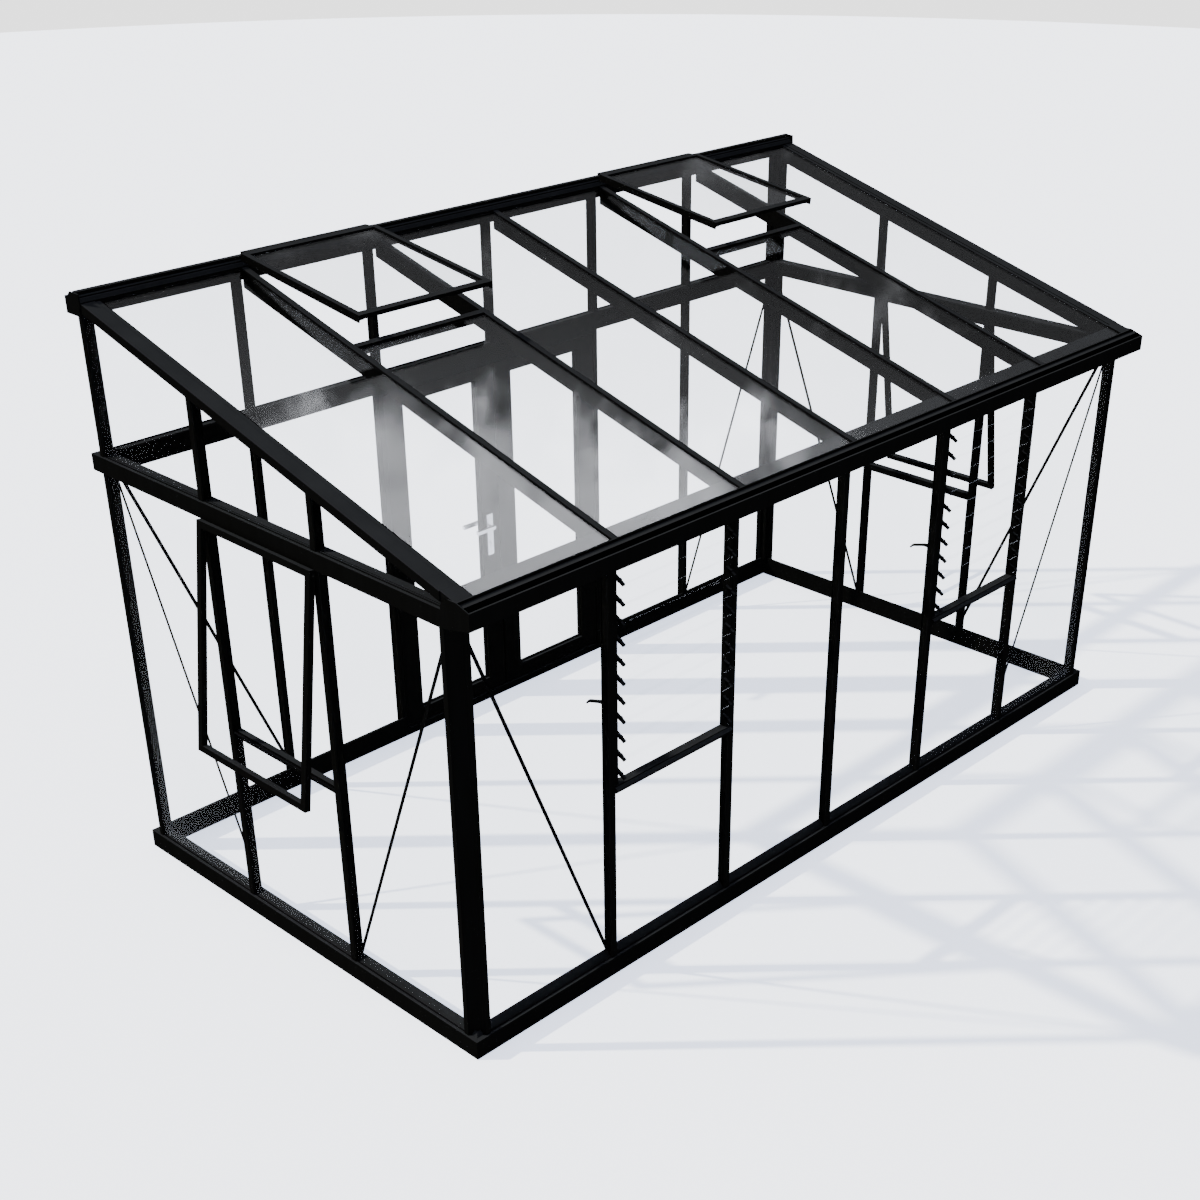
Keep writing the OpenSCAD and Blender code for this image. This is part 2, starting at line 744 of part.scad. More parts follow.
// jamb half: lower knuckle with the pin, and a strap on the jamb face
module jamb_hinges() {
  color(metal) for (s = [-1, 1], z = hinge_z) {
    translate([s * hinge_x, hinge_y, z - 40]) cylinder(r = knuckle_r, h = 40, $fn = 48);
    translate([s * hinge_x, hinge_y, z - 5]) cylinder(r = pin_r, h = 35, $fn = 48);
    scale_x(s) span([-hinge_x - 24, leaf_face, z - 40], [-hinge_x - 3, leaf_face + 3.5, z]);
  }
}

// lock plates on both faces of the left leaf
module lock_plates() {
  color(steel) for (k = [0, 1]) difference() {
    translate([lever_x - 20, k > 0 ? leaf_face : leaf_face - leaf_t - 6, lever_z - 158])
      cube([40, 6, 224]);
    translate([lever_x, leaf_face + 10, lever_z]) rotate([90, 0, 0])
      cylinder(r = spindle_r + pin_fit, h = leaf_t + 30, $fn = 48);
  }
}

// spindle with a lever on each face, pointing at the hinges
module door_lever() {
  color(steel) {
    translate([lever_x, leaf_face + 32, lever_z]) rotate([90, 0, 0])
      cylinder(r = spindle_r, h = leaf_t + 64, $fn = 48);
    for (k = [0, 1]) translate([lever_x - 112, k > 0 ? leaf_face + 26 : leaf_face - leaf_t - 42,
      lever_z - 9]) cube([120, 16, 18]);
  }
}

base_front();
base_back();
base_left();
base_right();
door_threshold();
corner_post_front_left();
corner_post_front_right();
corner_post_back_left();
corner_post_back_right();
front_mullions();
side_wall_mullions();
back_wall_mullions();
door_jambs();
door_head();
side_mid_rails();
back_transom();
gable_mullions();
back_upper_mullions();
upper_corner_posts();
eave_beam();
gutter();
gutter_end_caps();
rake_beams();
rake_shoes();
ridge_beam();
ridge_end_caps();
rafters();
vent_trimmers();
roof_vent_left();
roof_vent_right();
vent_glass();
vent_hinge_strips();
side_window_sashes();
side_window_glass();
side_window_sills();
louvre_frames();
louvre_blades();
louvre_levers();
corner_braces();
front_glass();
back_glass();
left_wall_glass();
right_wall_glass();
roof_glass();
left_door_frame();
right_door_frame();
left_door_glass();
right_door_glass();
left_door_hinges();
right_door_hinges();
jamb_hinges();
lock_plates();
door_lever();
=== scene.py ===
# %% [markdown]
# # A lean-to glass greenhouse
# A greenhouse with one sloping roof is a cage of thin dark bars with clear panes between them. The CAD
# frame already holds every bar, pane, window, hinge and the two door leaves. What is left for Blender is
# the finish: satin powder coat, clear glass, silver lock furniture, rubber seals, screws, and the clips
# that carry the louvre blades.

# %% Load the frame
import json
import math
import bmesh
import bpy
from mathutils import Matrix, Vector


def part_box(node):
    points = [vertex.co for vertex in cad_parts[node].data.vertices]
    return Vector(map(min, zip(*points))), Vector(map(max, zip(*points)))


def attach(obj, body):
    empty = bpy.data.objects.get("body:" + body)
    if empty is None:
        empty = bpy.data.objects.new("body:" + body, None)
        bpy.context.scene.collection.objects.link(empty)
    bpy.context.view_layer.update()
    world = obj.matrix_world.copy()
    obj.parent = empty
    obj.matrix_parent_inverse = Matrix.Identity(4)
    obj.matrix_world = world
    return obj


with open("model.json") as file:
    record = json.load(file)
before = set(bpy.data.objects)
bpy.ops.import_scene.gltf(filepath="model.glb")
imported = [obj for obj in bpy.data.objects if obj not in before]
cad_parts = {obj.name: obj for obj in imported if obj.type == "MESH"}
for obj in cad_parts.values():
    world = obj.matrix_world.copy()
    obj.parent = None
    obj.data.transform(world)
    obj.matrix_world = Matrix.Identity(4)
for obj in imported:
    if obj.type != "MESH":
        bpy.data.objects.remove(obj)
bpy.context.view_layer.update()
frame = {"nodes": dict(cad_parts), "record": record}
nodes = frame["nodes"]
slot_of = {row["node"]: row["material_slot"] for row in frame["record"]["subparts"]}

# %% [markdown]
# ## The camera
# A camera is easiest to trust when it stands at a real place. Here it stands outside the left front
# corner of the base, well above the ridge, and looks down across the roof. Its place is given in
# metres from that corner, its view as a direction, and a small shift frames the whole building.

# %% Camera
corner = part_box("base_front")[0]
look = Vector((0.62904, 0.59815, -0.49652)).normalized()
side = look.cross(Vector((0, 0, 1))).normalized()
upward = side.cross(look)
eye = Vector((corner[0] - 3.5214, corner[1] - 4.2500, 4.5217))
camera_data = bpy.data.cameras.new("camera")
camera_data.sensor_width = 36
camera_data.lens = 53.4975
camera_data.shift_x = -0.0369
camera_data.shift_y = 0.1278
camera_data.clip_end = 200
camera = bpy.data.objects.new("camera", camera_data)
bpy.context.scene.collection.objects.link(camera)
camera.matrix_world = Matrix((
    (side.x, upward.x, -look.x, eye.x), (side.y, upward.y, -look.y, eye.y),
    (side.z, upward.z, -look.z, eye.z), (0, 0, 0, 1)))
bpy.context.scene.camera = camera
print("camera", [round(v, 3) for v in eye], "lens", camera_data.lens)

# %% [markdown]
# ## Writing a material as sums
# A procedural material is arithmetic on patterns. Placing and linking Math nodes by hand hides that, so
# a small class wraps one output socket, and Python's own operators add the nodes. A second class owns
# the tree and makes every other node from its type, its settings and its inputs.

# %% Sockets as numbers
class Value:
    """One number socket; + - * and ** add Math nodes."""

    def __init__(self, paint, socket):
        self.paint, self.socket = paint, socket

    def _math(self, operation, first, second):
        return self.paint.node("ShaderNodeMath", {"operation": operation}, {0: first, 1: second})

    def __add__(self, other): return self._math("ADD", self, other)
    def __radd__(self, other): return self._math("ADD", other, self)
    def __sub__(self, other): return self._math("SUBTRACT", self, other)
    def __rsub__(self, other): return self._math("SUBTRACT", other, self)
    def __mul__(self, other): return self._math("MULTIPLY", self, other)
    def __rmul__(self, other): return self._math("MULTIPLY", other, self)
    def __pow__(self, other): return self._math("POWER", self, other)


class Paint:
    """A node tree, the one method that adds nodes to it, and short names for common nodes."""

    def __init__(self, tree):
        self.tree = tree
        tree.nodes.clear()

    def node(self, kind, settings=None, inputs=None, output=0):
        made = self.tree.nodes.new(kind)
        for name, value in (settings or {}).items():
            setattr(made, name, value)
        for name, value in (inputs or {}).items():
            if isinstance(value, Value):
                self.tree.links.new(value.socket, made.inputs[name])
            else:
                made.inputs[name].default_value = value
        return Value(self, made.outputs[output])

    def noise(self, place, scale, detail=2.0, rough=0.5):
        return self.node("ShaderNodeTexNoise", {}, {
            "Vector": place, "Scale": scale, "Detail": detail, "Roughness": rough})

    def step(self, value, low, high):
        """A soft rise from 0 at low to 1 at high."""
        return self.node("ShaderNodeMapRange", {"interpolation_type": "SMOOTHSTEP"},
                         {"Value": value, "From Min": low, "From Max": high})

    def blend(self, mask, first, second):
        """Two colours mixed by a mask; 6, 7 and output 2 are the node's colour sockets."""
        return self.node("ShaderNodeMix", {"data_type": "RGBA"}, {0: mask, 6: first, 7: second}, 2)

    def place(self):
        """Object coordinates, which here are metres in the building."""
        return self.node("ShaderNodeTexCoord", {}, {}, "Object")

    def stretch(self, place, scale):
        """A pattern packed closer along an axis with a larger scale."""
        return self.node("ShaderNodeMapping", {}, {"Vector": place, "Scale": scale})

    def bump(self, height, strength, distance):
        return self.node("ShaderNodeBump", {}, {
            "Height": height, "Strength": strength, "Distance": distance})


def finish(name, draw):
    """A new material; draw(paint) returns the shader that goes to the output."""
    made = bpy.data.materials.new(name)
    made.use_nodes = True
    paint = Paint(made.node_tree)
    output = paint.tree.nodes.new("ShaderNodeOutputMaterial")
    paint.tree.links.new(draw(paint).socket, output.inputs["Surface"])
    print("finish", name, "with", len(paint.tree.nodes), "nodes")
    return made


# %% [markdown]
# ## Powder coat
# The bars are extruded aluminium under a near-black satin powder coat. Seen close, the coat has a fine
# orange-peel skin about a millimetre across and a little cloudiness in its gloss. Faces that look up get a
# painted sky sheen: their base colour is blended towards a paler bluish colour, which stands in for the
# sky mirrored in the coat. Three noises give all of it: a fine one for the skin as a bump, a wide one that
# clouds the gloss and the painted sheen, and one drawn out along the height for faint runs. The painted
# sheen is let through only where a face looks at the sky. The sharp reflection is turned off, because
# under so bright a dome it lifts a near-black bar towards grey.

# %% Dark powder coat
# Paler bluish colour of the painted sky sheen, which stands in for the sky mirrored on faces that look up.
painted_sky_sheen = (0.055, 0.06, 0.072, 1)


def powder_coat(base, gloss, sheen_amount):
    """A dark coat of this base colour and roughness, with this much painted sky sheen on what faces up."""
    def draw(p):
        at = p.place()
        skin = p.noise(at, 900, 2, 0.5)
        cloud = p.noise(at, 5, 3, 0.55)
        run = p.noise(p.stretch(at, (9, 9, 1.2)), 3, 3, 0.6)
        normal = p.node("ShaderNodeNewGeometry", {}, {}, "Normal")
        lift = p.node("ShaderNodeSeparateXYZ", {}, {0: normal}, "Z")
        # Painted sheen: faces that look up are blended towards the paler colour, in place of a real sky
        # reflection.
        painted_sheen_mask = p.step(lift, 0.35, 0.95) * (0.7 + cloud * 0.6) * sheen_amount
        color = p.blend(painted_sheen_mask + run * 0.01, (*base, 1), painted_sky_sheen)
        return p.node("ShaderNodeBsdfPrincipled", {}, {
            "Base Color": color, "Roughness": gloss + cloud * 0.14,
            "Specular IOR Level": 0.0, "Normal": p.bump(skin, 0.12, 0.0004)})
    return draw


coat = finish("dark_powder_coat", powder_coat((0.0010, 0.0010, 0.0009), 0.34, 0.2))
coat_fine = finish("dark_coat_small_parts", powder_coat((0.0010, 0.0010, 0.0010), 0.42, 0.15))

# %% [markdown]
# ## Glass
# A thin flat pane hardly bends light, so it doesn't need true refraction, which would also turn its
# shadow black. It is made as two shaders mixed by the angle of view: nearly all of the light goes
# straight through, and more of it is mirrored the flatter the view, by the usual fifth-power rule. A
# Fresnel node isn't used, because it takes the pane's far side for the inside of solid glass, where all
# flat light is mirrored. A trace of dried rain dulls the mirror in soft patches, and the light that passes
# is tinted a little, which gives the panes their faint shadow. The roof panes lie under the open sky and
# mirror it from every side. The wall panes fade their mirror in only towards flat views, so that less of
# the bright floor is laid over the dark bars behind them. The value polish scales the whole mirror.

# %% Clear toughened glass
polish = 0.55


def clear_pane(mirror_from, mirror_full):
    """Glass whose mirror fades in between two angles of view; 0 is face on and 1 is edge on."""
    def draw(p):
        at = p.place()
        smear = p.step(p.noise(at, 2.2, 4, 0.6), 0.4, 0.8)
        clean = p.node("ShaderNodeBsdfTransparent", {}, {"Color": (0.974, 0.977, 0.978, 1)})
        rained = p.node("ShaderNodeBsdfTransparent", {}, {"Color": (0.958, 0.963, 0.966, 1)})
        through = p.node("ShaderNodeMixShader", {}, {0: smear, 1: clean, 2: rained})
        mirror = p.node("ShaderNodeBsdfPrincipled", {}, {
            "Base Color": (0.92, 0.94, 0.96, 1), "Metallic": 1.0, "Roughness": 0.02 + smear * 0.08})
        edge_on = p.node("ShaderNodeLayerWeight", {}, {"Blend": 0.5}, "Facing")
        shown = p.step(edge_on, mirror_from, mirror_full) * polish
        return p.node("ShaderNodeMixShader", {}, {
            0: (edge_on ** 5 * 0.96 + 0.04) * shown, 1: through, 2: mirror})
    return draw


glass = finish("clear_glass", clear_pane(0.5, 0.85))
roof_glass = finish("roof_glass", clear_pane(0.0, 0.1))

# %% [markdown]
# ## Satin steel and rubber
# The lever and its plates are brushed, so the bump is a noise stretched thin along the height of the
# plate. The glazing seals are soft black rubber with a dull, slightly dusty skin.

# %% Satin steel and seal rubber
def satin_steel(p):
    at = p.place()
    lines = p.noise(p.stretch(at, (1400, 1400, 25)), 1, 3, 0.6)
    wear = p.noise(at, 40, 3, 0.5)
    return p.node("ShaderNodeBsdfPrincipled", {}, {
        "Base Color": p.blend(wear, (0.56, 0.56, 0.58, 1), (0.68, 0.68, 0.69, 1)),
        "Metallic": 1.0, "Roughness": 0.24 + lines * 0.16, "Normal": p.bump(lines, 0.12, 0.0003)})


def seal_rubber(p):
    at = p.place()
    grain = p.noise(at, 500, 3, 0.6)
    return p.node("ShaderNodeBsdfPrincipled", {}, {
        "Base Color": p.blend(p.noise(at, 12, 3), (0.0012, 0.0012, 0.0014, 1), (0.0035, 0.0035, 0.004, 1)),
        "Roughness": 0.62 + grain * 0.2, "Specular IOR Level": 0.0,
        "Normal": p.bump(grain, 0.2, 0.0004)})


steel = finish("satin_steel", satin_steel)
rubber = finish("seal_rubber", seal_rubber)

# %% [markdown]
# ## Dressing the frame
# Each CAD node gets the finish that its slot names. The roof and vent panes get the glass with the
# stronger mirror, and small cast or pressed parts get the duller coat that such parts come with.

# %% Give every node its finish
finish_of_slot = {"dark_frame": coat, "glass": glass, "satin_steel": steel}
under_sky = ("roof_glass", "vent_glass")
small_parts = ("corner_braces", "vent_hinge_strips", "jamb_hinges", "louvre_levers",
               "left_door_hinges", "right_door_hinges")
for name, node in nodes.items():
    chosen = finish_of_slot[slot_of[name]]
    if name in under_sky:
        chosen = roof_glass
    if name in small_parts:
        chosen = coat_fine
    node.data.materials.clear()
    node.data.materials.append(chosen)
print("dressed", len(nodes), "nodes")

# %% [markdown]
# ## Geometry Nodes from Python
# Small parts that repeat are made by node trees. A tree has named inputs for its sizes, so one tree can
# serve every row of the same part. The helpers here open a tree, add a node to it and close it.

# %% Build a tree
def new_tree(name, inputs, has_mesh=False):
    """An empty Geometry Nodes tree with the given (name, kind, value) inputs."""
    tree = bpy.data.node_groups.new(name, "GeometryNodeTree")
    if has_mesh:
        tree.interface.new_socket("Geometry", in_out="INPUT", socket_type="NodeSocketGeometry")
    for label, kind, value in inputs:
        socket = tree.interface.new_socket(label, in_out="INPUT", socket_type="NodeSocket" + kind)
        socket.default_value = value
    tree.interface.new_socket("Geometry", in_out="OUTPUT", socket_type="NodeSocketGeometry")
    start = tree.nodes.new("NodeGroupInput")
    end = tree.nodes.new("NodeGroupOutput")
    return tree, start, end


def add(tree, kind, settings, links):
    """One geometry node; links maps an input to a value or to an output socket."""
    made = tree.nodes.new(kind)
    for key, value in settings.items():
        setattr(made, key, value)
    for key, value in links.items():
        if isinstance(value, bpy.types.NodeSocket):
            tree.links.new(value, made.inputs[key])
        else:
            made.inputs[key].default_value = value
    return made


def close_tree(tree, end, geometry, material):
    """Every tree ends the same way: real geometry that carries its material."""
    real = add(tree, "GeometryNodeRealizeInstances", {}, {0: geometry})
    paint = add(tree, "GeometryNodeSetMaterial", {}, {0: real.outputs[0]})
    paint.inputs["Material"].default_value = material
    tree.links.new(paint.outputs[0], end.inputs[0])


# %% [markdown]
# ## From a tree to a plain mesh
# A tree runs as a modifier on a carrier object. The evaluated result is read as a plain mesh and the
# modifier is taken away again, so that only ordinary meshes are left. Several of them are joined into
# one piece, which rides on the body that carries it.

# %% Run a tree and join its meshes
def run_tree(tree, values, source=None):
    """The plain mesh that the tree makes from these input values."""
    carrier = bpy.data.objects.new("carrier", source or bpy.data.meshes.new("carrier"))
    bpy.context.scene.collection.objects.link(carrier)
    modifier = carrier.modifiers.new("make", "NODES")
    modifier.node_group = tree
    for item in tree.interface.items_tree:
        if item.in_out == "INPUT" and item.name in values:
            modifier[item.identifier] = values[item.name]
    graph = bpy.context.evaluated_depsgraph_get()
    mesh = bpy.data.meshes.new_from_object(carrier.evaluated_get(graph), depsgraph=graph)
    carrier.modifiers.remove(modifier)
    bpy.data.objects.remove(carrier)
    return mesh


def join(name, meshes, body, material):
    """One object from several plain meshes, riding on a body."""
    whole = bmesh.new()
    for mesh in meshes:
        whole.from_mesh(mesh)
    mesh = bpy.data.meshes.new(name)
    whole.to_mesh(mesh)
    whole.free()
    mesh.materials.append(material)
    for face in mesh.polygons:
        face.material_index = 0
    made = bpy.data.objects.new(name, mesh)
    bpy.context.scene.collection.objects.link(made)
    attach(made, body)
    print("made", name, "faces", len(mesh.polygons), "on", body)


# %% [markdown]
# ## Screw heads
# The base bars, mullions, hinge straps and lock plates are held by button-head screws 6 to 10 mm
# across. The tree lays a row of them from a first place by equal steps: a low dome made from a UV sphere
# flattened along its axis, instanced on a mesh line and turned to face out of the surface.

# %% Screw row tree
screw_tree, start, end = new_tree("screw_row", [
    ("Start", "Vector", (0, 0, 0)), ("Step", "Vector", (0, 0, 0.1)), ("Count", "Int", 2),
    ("Radius", "Float", 0.005), ("Height", "Float", 0.0025), ("Facing", "Vector", (0, 0, 1))])
row = add(screw_tree, "GeometryNodeMeshLine", {"mode": "OFFSET"}, {
    "Count": start.outputs["Count"], "Start Location": start.outputs["Start"],
    "Offset": start.outputs["Step"]})
dome = add(screw_tree, "GeometryNodeMeshUVSphere", {}, {"Segments": 12, "Rings": 6, "Radius": 1.0})
scale = add(screw_tree, "ShaderNodeCombineXYZ", {}, {
    0: start.outputs["Radius"], 1: start.outputs["Radius"], 2: start.outputs["Height"]})
turn = add(screw_tree, "FunctionNodeAlignRotationToVector", {"axis": "Z"}, {
    "Vector": start.outputs["Facing"]})
heads = add(screw_tree, "GeometryNodeInstanceOnPoints", {}, {
    "Points": row.outputs[0], "Instance": dome.outputs[0], "Rotation": turn.outputs[0],
    "Scale": scale.outputs[0]})
close_tree(screw_tree, end, heads.outputs[0], coat_fine)


def screws(start_at, step, count, facing, radius=0.005, height=0.0025):
    """The mesh of one row of screws."""
    return run_tree(screw_tree, {
        "Start": start_at, "Step": step, "Count": count, "Radius": radius, "Height": height,
        "Facing": facing})


print("screw tree with", len(screw_tree.nodes), "nodes")

# %% [markdown]
# ## Where the screws sit
# Every place is read from the boxes of the bars that the screws hold: two screws by each end of a base
# bar, and one at the foot and one at the head of every mullion. A node may hold several bars that don't
# touch, so a helper first walks along the edges of its mesh and gives the box of each bar by itself.

# %% Separate bars of a node
weld = 1e-5


def islands(name):
    """The box of every separate solid in a node, as (low, high) pairs sorted along the building."""
    work = bmesh.new()
    work.from_mesh(nodes[name].data)
    bmesh.ops.remove_doubles(work, verts=work.verts, dist=weld)
    left, boxes = set(work.verts), []
    while left:
        stack, part = [left.pop()], []
        while stack:
            vert = stack.pop()
            part.append(vert.co.copy())
            for edge in vert.link_edges:
                other = edge.other_vert(vert)
                if other in left:
                    left.remove(other)
                    stack.append(other)
        boxes.append((Vector([min(c[k] for c in part) for k in range(3)]),
                      Vector([max(c[k] for c in part) for k in range(3)])))
    work.free()
    return sorted(boxes, key=lambda b: (round(b[0].x, 3), round(b[0].y, 3), b[0].z))


print("front mullions", len(islands("front_mullions")), "louvre blades", len(islands("louvre_blades")))

# %% Frame screws
from_end, apart = 0.06, 0.04
screw_z = 0.030
mullion_end = 0.03
mullion_head = 0.004


def foot_and_head(x, y, low, high, facing):
    """One screw near the foot and one near the head of an upright bar."""
    return screws((x, y, low.z + mullion_end), (0, 0, high.z - low.z - 2 * mullion_end), 2, facing,
                  mullion_head)


rows = []
for bar, facing in (("base_front", (0, -1, 0)), ("base_back", (0, 1, 0))):
    for low, high in islands(bar):
        y = low.y if facing[1] < 0 else high.y
        for x in (low.x + from_end, high.x - from_end - apart):
            rows.append(screws((x, y, screw_z), (apart, 0, 0), 2, facing))
for bar, facing in (("base_left", (-1, 0, 0)), ("base_right", (1, 0, 0))):
    low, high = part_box(bar)
    x = low[0] if facing[0] < 0 else high[0]
    for y in (low[1] + from_end, high[1] - from_end - apart):
        rows.append(screws((x, y, screw_z), (0, apart, 0), 2, facing))
for low, high in islands("front_mullions"):
    rows.append(foot_and_head((low.x + high.x) / 2, low.y, low, high, (0, -1, 0)))
for low, high in islands("side_wall_mullions"):
    x, out = (low.x, -1) if low.x < 0 else (high.x, 1)
    rows.append(foot_and_head(x, (low.y + high.y) / 2, low, high, (out, 0, 0)))
for low, high in islands("back_wall_mullions") + islands("back_upper_mullions"):
    rows.append(foot_and_head((low.x + high.x) / 2, high.y, low, high, (0, 1, 0)))
join("frame_screws", rows, "frame", coat_fine)

# %% [markdown]
# ## Hinge and lock screws
# The hinge straps on the door leaves take three small flat screws each, and the silver plates have one
# screw above and one below the lever. Each set rides on the body it is screwed to, so it swings with
# its leaf.

# %% Hinge screws on the leaves
def strap_screws(name, body, shift):
    """Three screws in every strap of a leaf, a little off its middle, away from the pin."""
    made = []
    for low, high in islands(name):
        x = (low.x + high.x) / 2 + shift
        made.append(screws((x, low.y + 0.0035, low.z + 0.008), (0, 0, 0.012), 3, (0, 1, 0),
                           0.0032, 0.0014))
    join(name + "_screws", made, body, coat_fine)


strap_screws("left_door_hinges", "left_door", 0.006)
strap_screws("right_door_hinges", "right_door", -0.006)

# %% [markdown]
# ## Lock plates
# Each plate shows the round face of a key cylinder with its narrow lower part. A cylinder and a small
# block are joined in one tree, stood upright and moved to the plate. Two screws hold the plate.

# %% Lock screws and key cylinder
key_tree, start, end = new_tree("key_cylinder", [
    ("Radius", "Float", 0.0085), ("Depth", "Float", 0.004), ("Place", "Vector", (0, 0, 0))])
barrel = add(key_tree, "GeometryNodeMeshCylinder", {}, {
    "Vertices": 32, "Radius": start.outputs["Radius"], "Depth": start.outputs["Depth"]})
drop = add(key_tree, "GeometryNodeMeshCube", {}, {"Size": (0.009, 0.022, 0.004)})
lower = add(key_tree, "GeometryNodeTransform", {}, {
    0: drop.outputs[0], "Translation": (0, -0.011, 0)})
both = add(key_tree, "GeometryNodeJoinGeometry", {}, {})
key_tree.links.new(barrel.outputs[0], both.inputs[0])
key_tree.links.new(lower.outputs[0], both.inputs[0])
stand = add(key_tree, "GeometryNodeTransform", {}, {
    0: both.outputs[0], "Translation": start.outputs["Place"],
    "Rotation": (math.radians(90), 0, 0)})
close_tree(key_tree, end, stand.outputs[0], steel)
plate_end = 0.012
key_up = 0.068
lock = []
for low, high in islands("lock_plates"):
    x = (low.x + high.x) / 2
    inside = low.y < sum(v[1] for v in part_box("left_door_frame")) / 2
    y, facing = (low.y, (0, -1, 0)) if inside else (high.y, (0, 1, 0))
    lock.append(screws((x, y, low.z + plate_end), (0, 0, high.z - low.z - 2 * plate_end), 2, facing,
                       0.004, 0.0016))
    lock.append(run_tree(key_tree, {"Place": (x, y, low.z + key_up)}))
join("lock_screws_and_key", lock, "left_door", steel)

# %% [markdown]
# ## Louvre clips
# Each glass blade of a louvre sits in a pressed clip at both ends. The clips are what shows of an open
# louvre: a ladder of short sloping strips along the side channel. All clips are the same, so one strip
# is made once and laid out along the channel at the pitch of the blades.

# %% Louvre clip tree
clip_tree, start, end = new_tree("louvre_clips", [
    ("Start", "Vector", (0, 0, 0)), ("Step", "Vector", (0, 0, 0.08)), ("Count", "Int", 11),
    ("Length", "Float", 0.09), ("Width", "Float", 0.012), ("Thickness", "Float", 0.011),
    ("Tilt", "Float", 0.54)])
size = add(clip_tree, "ShaderNodeCombineXYZ", {}, {
    0: start.outputs["Width"], 1: start.outputs["Length"], 2: start.outputs["Thickness"]})
strip = add(clip_tree, "GeometryNodeMeshCube", {}, {"Size": size.outputs[0]})
boss = add(clip_tree, "GeometryNodeMeshCylinder", {}, {"Vertices": 16, "Radius": 0.009, "Depth": 0.012})
boss_turn = add(clip_tree, "GeometryNodeTransform", {}, {
    0: boss.outputs[0], "Rotation": (0, math.radians(90), 0)})
clip = add(clip_tree, "GeometryNodeJoinGeometry", {}, {})
clip_tree.links.new(strip.outputs[0], clip.inputs[0])
clip_tree.links.new(boss_turn.outputs[0], clip.inputs[0])
ladder = add(clip_tree, "GeometryNodeMeshLine", {"mode": "OFFSET"}, {
    "Count": start.outputs["Count"], "Start Location": start.outputs["Start"],
    "Offset": start.outputs["Step"]})
tilt = add(clip_tree, "ShaderNodeCombineXYZ", {}, {0: start.outputs["Tilt"]})
clips = add(clip_tree, "GeometryNodeInstanceOnPoints", {}, {
    "Points": ladder.outputs[0], "Instance": clip.outputs[0], "Rotation": tilt.outputs[0]})
close_tree(clip_tree, end, clips.outputs[0], coat_fine)
print("clip tree with", len(clip_tree.nodes), "nodes")

# %% Lay out the clips
grip_share = 0.6
half_clip = 0.006
edge_z, edge_y = 0.003, 0.002
blades = islands("louvre_blades")
columns = sorted({round(low.x, 3) for low, high in blades})
ladders = []
for column in columns:
    stack = sorted((b for b in blades if round(b[0].x, 3) == column), key=lambda b: b[0].z)
    low, high = stack[0]
    rise = (stack[-1][0].z - low.z) / (len(stack) - 1)
    tilt_angle = math.atan2(high.z - low.z - edge_z, high.y - low.y - edge_y)
    grip = grip_share * math.hypot(high.y - low.y, high.z - low.z)
    middle_y = low.y - edge_y + grip / 2 * math.cos(tilt_angle)
    middle_z = low.z + grip / 2 * math.sin(tilt_angle)
    for x in (low.x + half_clip, high.x - half_clip):
        ladders.append(run_tree(clip_tree, {
            "Start": (x, middle_y, middle_z), "Step": (0, 0, rise), "Count": len(stack),
            "Length": grip, "Tilt": tilt_angle}))
join("louvre_clips", ladders, "frame", coat_fine)

# %% [markdown]
# ## Glazing seals
# A black rubber strip runs round every pane and keeps it tight in its bars. Its path is the outline of
# the pane itself, so the tree takes the pane's mesh, keeps the faces that look out of the building,
# turns their free edges into curves and sweeps a small flat section along them.

# %% Seal tree
seal_tree, start, end = new_tree("pane_seal", [
    ("Outward", "Vector", (0, -1, 0)), ("Width", "Float", 0.012), ("Height", "Float", 0.003)], True)
normal = add(seal_tree, "GeometryNodeInputNormal", {}, {})
dot = add(seal_tree, "ShaderNodeVectorMath", {"operation": "DOT_PRODUCT"}, {
    0: normal.outputs[0], 1: start.outputs["Outward"]})
away = add(seal_tree, "FunctionNodeCompare", {"data_type": "FLOAT", "operation": "LESS_THAN"}, {
    "A": dot.outputs["Value"], "B": 0.8})
keep = add(seal_tree, "GeometryNodeDeleteGeometry", {"domain": "FACE"}, {
    "Geometry": start.outputs["Geometry"], "Selection": away.outputs[0]})
edge_faces = add(seal_tree, "GeometryNodeInputMeshEdgeNeighbors", {}, {})
rim = add(seal_tree, "FunctionNodeCompare", {"data_type": "INT", "operation": "EQUAL"}, {
    "A": edge_faces.outputs[0], "B": 1})
path = add(seal_tree, "GeometryNodeMeshToCurve", {}, {
    "Mesh": keep.outputs[0], "Selection": rim.outputs[0]})
upright = add(seal_tree, "GeometryNodeSetCurveNormal", {"mode": "FREE"}, {
    "Curve": path.outputs[0], "Normal": start.outputs["Outward"]})
section = add(seal_tree, "GeometryNodeCurvePrimitiveQuadrilateral", {}, {
    "Width": start.outputs["Height"], "Height": start.outputs["Width"]})
swept = add(seal_tree, "GeometryNodeCurveToMesh", {}, {
    "Curve": upright.outputs[0], "Profile Curve": section.outputs[0], "Fill Caps": True})
close_tree(seal_tree, end, swept.outputs[0], rubber)
print("seal tree with", len(seal_tree.nodes), "nodes")


def seals(name, outward):
    """Seals round every pane of a node, on the side that faces outward."""
    source = bmesh.new()
    source.from_mesh(nodes[name].data)
    bmesh.ops.remove_doubles(source, verts=source.verts, dist=weld)
    bmesh.ops.dissolve_limit(source, angle_limit=0.01, verts=source.verts, edges=source.edges)
    mesh = bpy.data.meshes.new("outline")
    source.to_mesh(mesh)
    source.free()
    return run_tree(seal_tree, {"Outward": outward}, mesh)


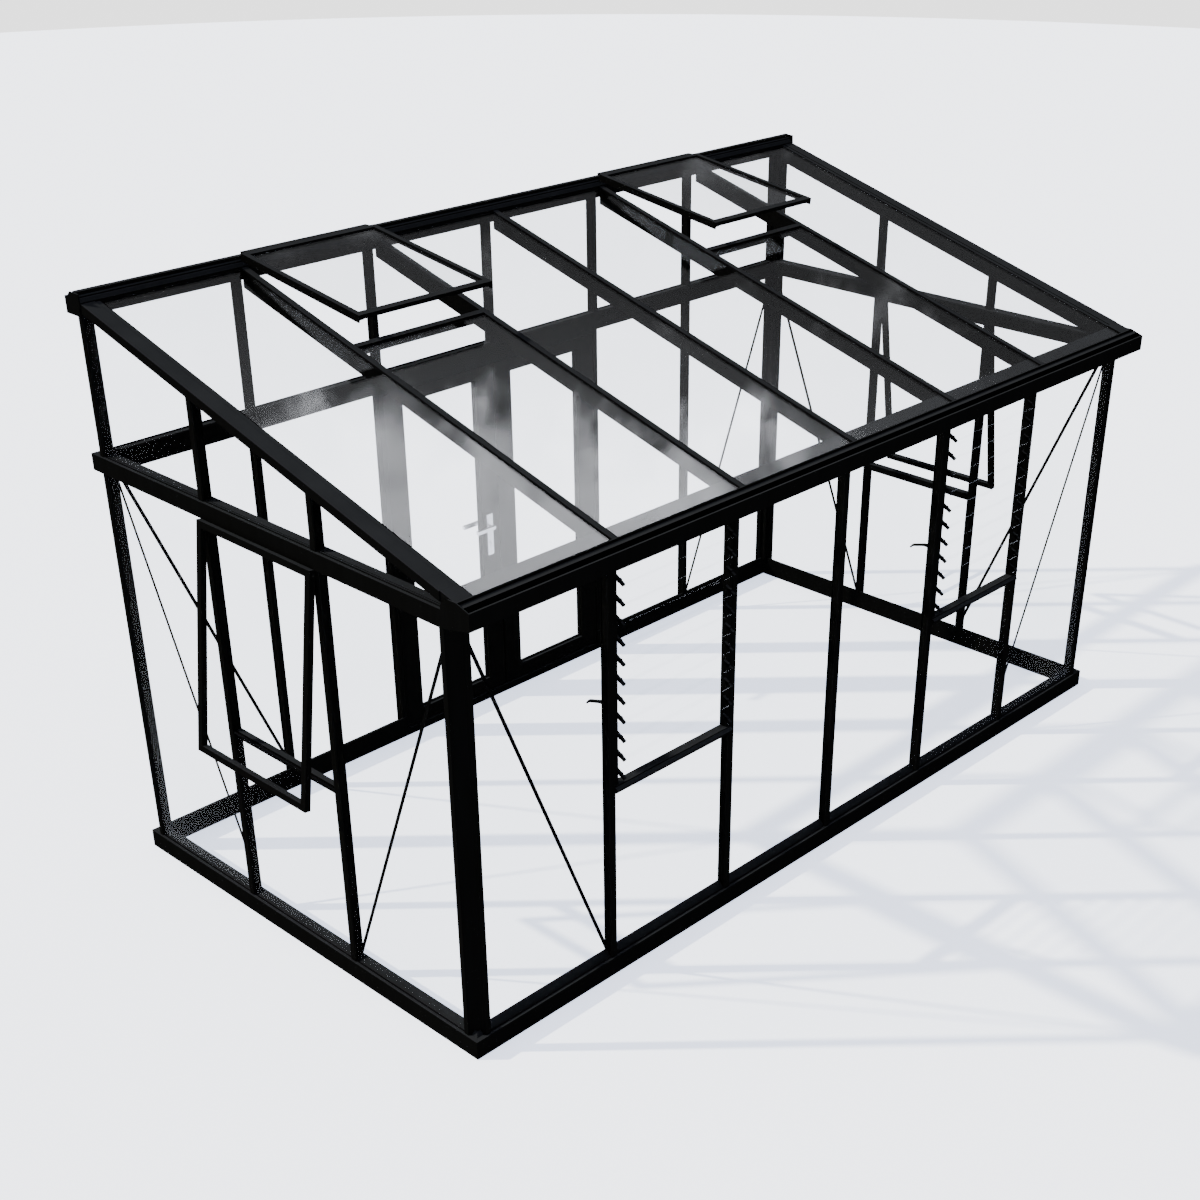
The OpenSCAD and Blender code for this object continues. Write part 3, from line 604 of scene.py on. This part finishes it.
# %% Seals for walls, roof and doors
low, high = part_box("roof_glass")
slope = math.atan2(high[2] - low[2], high[1] - low[1])
off_roof = (0, -math.sin(slope), math.cos(slope))
off_vent = (0, -0.14, 0.99)
frame_seals = [seals("front_glass", (0, -1, 0)), seals("back_glass", (0, 1, 0)),
               seals("left_wall_glass", (-1, 0, 0)), seals("right_wall_glass", (1, 0, 0)),
               seals("roof_glass", off_roof), seals("vent_glass", off_vent)]
join("glazing_seals", frame_seals, "frame", rubber)
for body in ("left_door", "right_door"):
    both_sides = [seals(body + "_glass", (0, face, 0)) for face in (-1, 1)]
    join(body + "_seals", both_sides, body, rubber)

# %% [markdown]
# ## Floor
# The building stands on a plain pale floor, a wide disc a millimetre below it. The floor also glows by
# itself, which keeps the shadows on it as light as they are in a white studio, where light comes back
# from every side.

# %% Floor
floor_radius = 27.3
floor_middle = (0.19, 0.37, -0.001)
work = bmesh.new()
bmesh.ops.create_circle(work, cap_ends=True, segments=256, radius=floor_radius,
                        matrix=Matrix.Translation(floor_middle))
floor_mesh = bpy.data.meshes.new("floor")
work.to_mesh(floor_mesh)
work.free()
floor = bpy.data.objects.new("floor", floor_mesh)
bpy.context.scene.collection.objects.link(floor)


def pale_floor(p):
    return p.node("ShaderNodeBsdfPrincipled", {}, {
        "Base Color": (0.80, 0.81, 0.84, 1), "Roughness": 0.9, "Specular IOR Level": 0.0,
        "Emission Color": (0.90, 1.0, 1.28, 1), "Emission Strength": 1.55})


floor_mesh.materials.append(finish("pale_floor", pale_floor))

# %% [markdown]
# ## Sky and sun
# The dome shows three things. The eye sees a plain pale backdrop, surfaces are lit by a soft even sky,
# and mirrors see clouds with one wide bright patch high overhead, which is the sheen on the roof. One
# lamp shines from behind on the left, and its rays throw the long thin shadows over the floor to the
# right. The lamp is hidden from mirrors, so that no pane or plate shows its hard glare.

# %% Sky dome
world = bpy.data.worlds.new("studio")
bpy.context.scene.world = world
world.use_nodes = True
p = Paint(world.node_tree)
toward = p.node("ShaderNodeTexCoord", {}, {}, "Generated")
glow = p.node("ShaderNodeVectorMath", {"operation": "DOT_PRODUCT"},
              {0: toward, 1: (0.375, 0.0, 1.0)}, "Value")
billow = p.noise(toward, 24, 4, 0.6)
patch = p.step(glow + (billow - 0.5) * 0.13, 0.860, 0.906)
puffs = p.step(billow, 0.54, 0.78)
veil = p.step(glow, 0.81, 0.88)
clouds = p.node("ShaderNodeBackground", {}, {
    "Color": (0.98, 0.98, 1.02, 1), "Strength": 0.22 + veil * 0.5 + puffs * 1.2 + patch * 7.0})
soft = p.node("ShaderNodeBackground", {}, {"Color": (0.95, 0.97, 1.03, 1), "Strength": 0.9})
plain = p.node("ShaderNodeBackground", {}, {"Color": (1.0, 1.0, 1.0, 1), "Strength": 2.35})
path_kind = p.tree.nodes.new("ShaderNodeLightPath")
in_gloss = Value(p, path_kind.outputs["Is Glossy Ray"])
in_view = Value(p, path_kind.outputs["Is Camera Ray"])
lit = p.node("ShaderNodeMixShader", {}, {0: in_gloss, 1: soft, 2: clouds})
both = p.node("ShaderNodeMixShader", {}, {0: in_view, 1: lit, 2: plain})
out = p.tree.nodes.new("ShaderNodeOutputWorld")
p.tree.links.new(both.socket, out.inputs["Surface"])
print("sky with", len(p.tree.nodes), "nodes")

# %% Sun
sun_data = bpy.data.lights.new("sun", "SUN")
sun_data.energy = 10.5
sun_data.color = (1.0, 0.95, 0.80)
sun_data.angle = math.radians(1.2)
sun = bpy.data.objects.new("sun", sun_data)
bpy.context.scene.collection.objects.link(sun)
sun.visible_glossy = False
ray = Vector((0.584, -0.584, -0.5635))
sun.rotation_euler = ray.to_track_quat("-Z", "Y").to_euler()
print("sun from", [round(-v, 2) for v in ray])
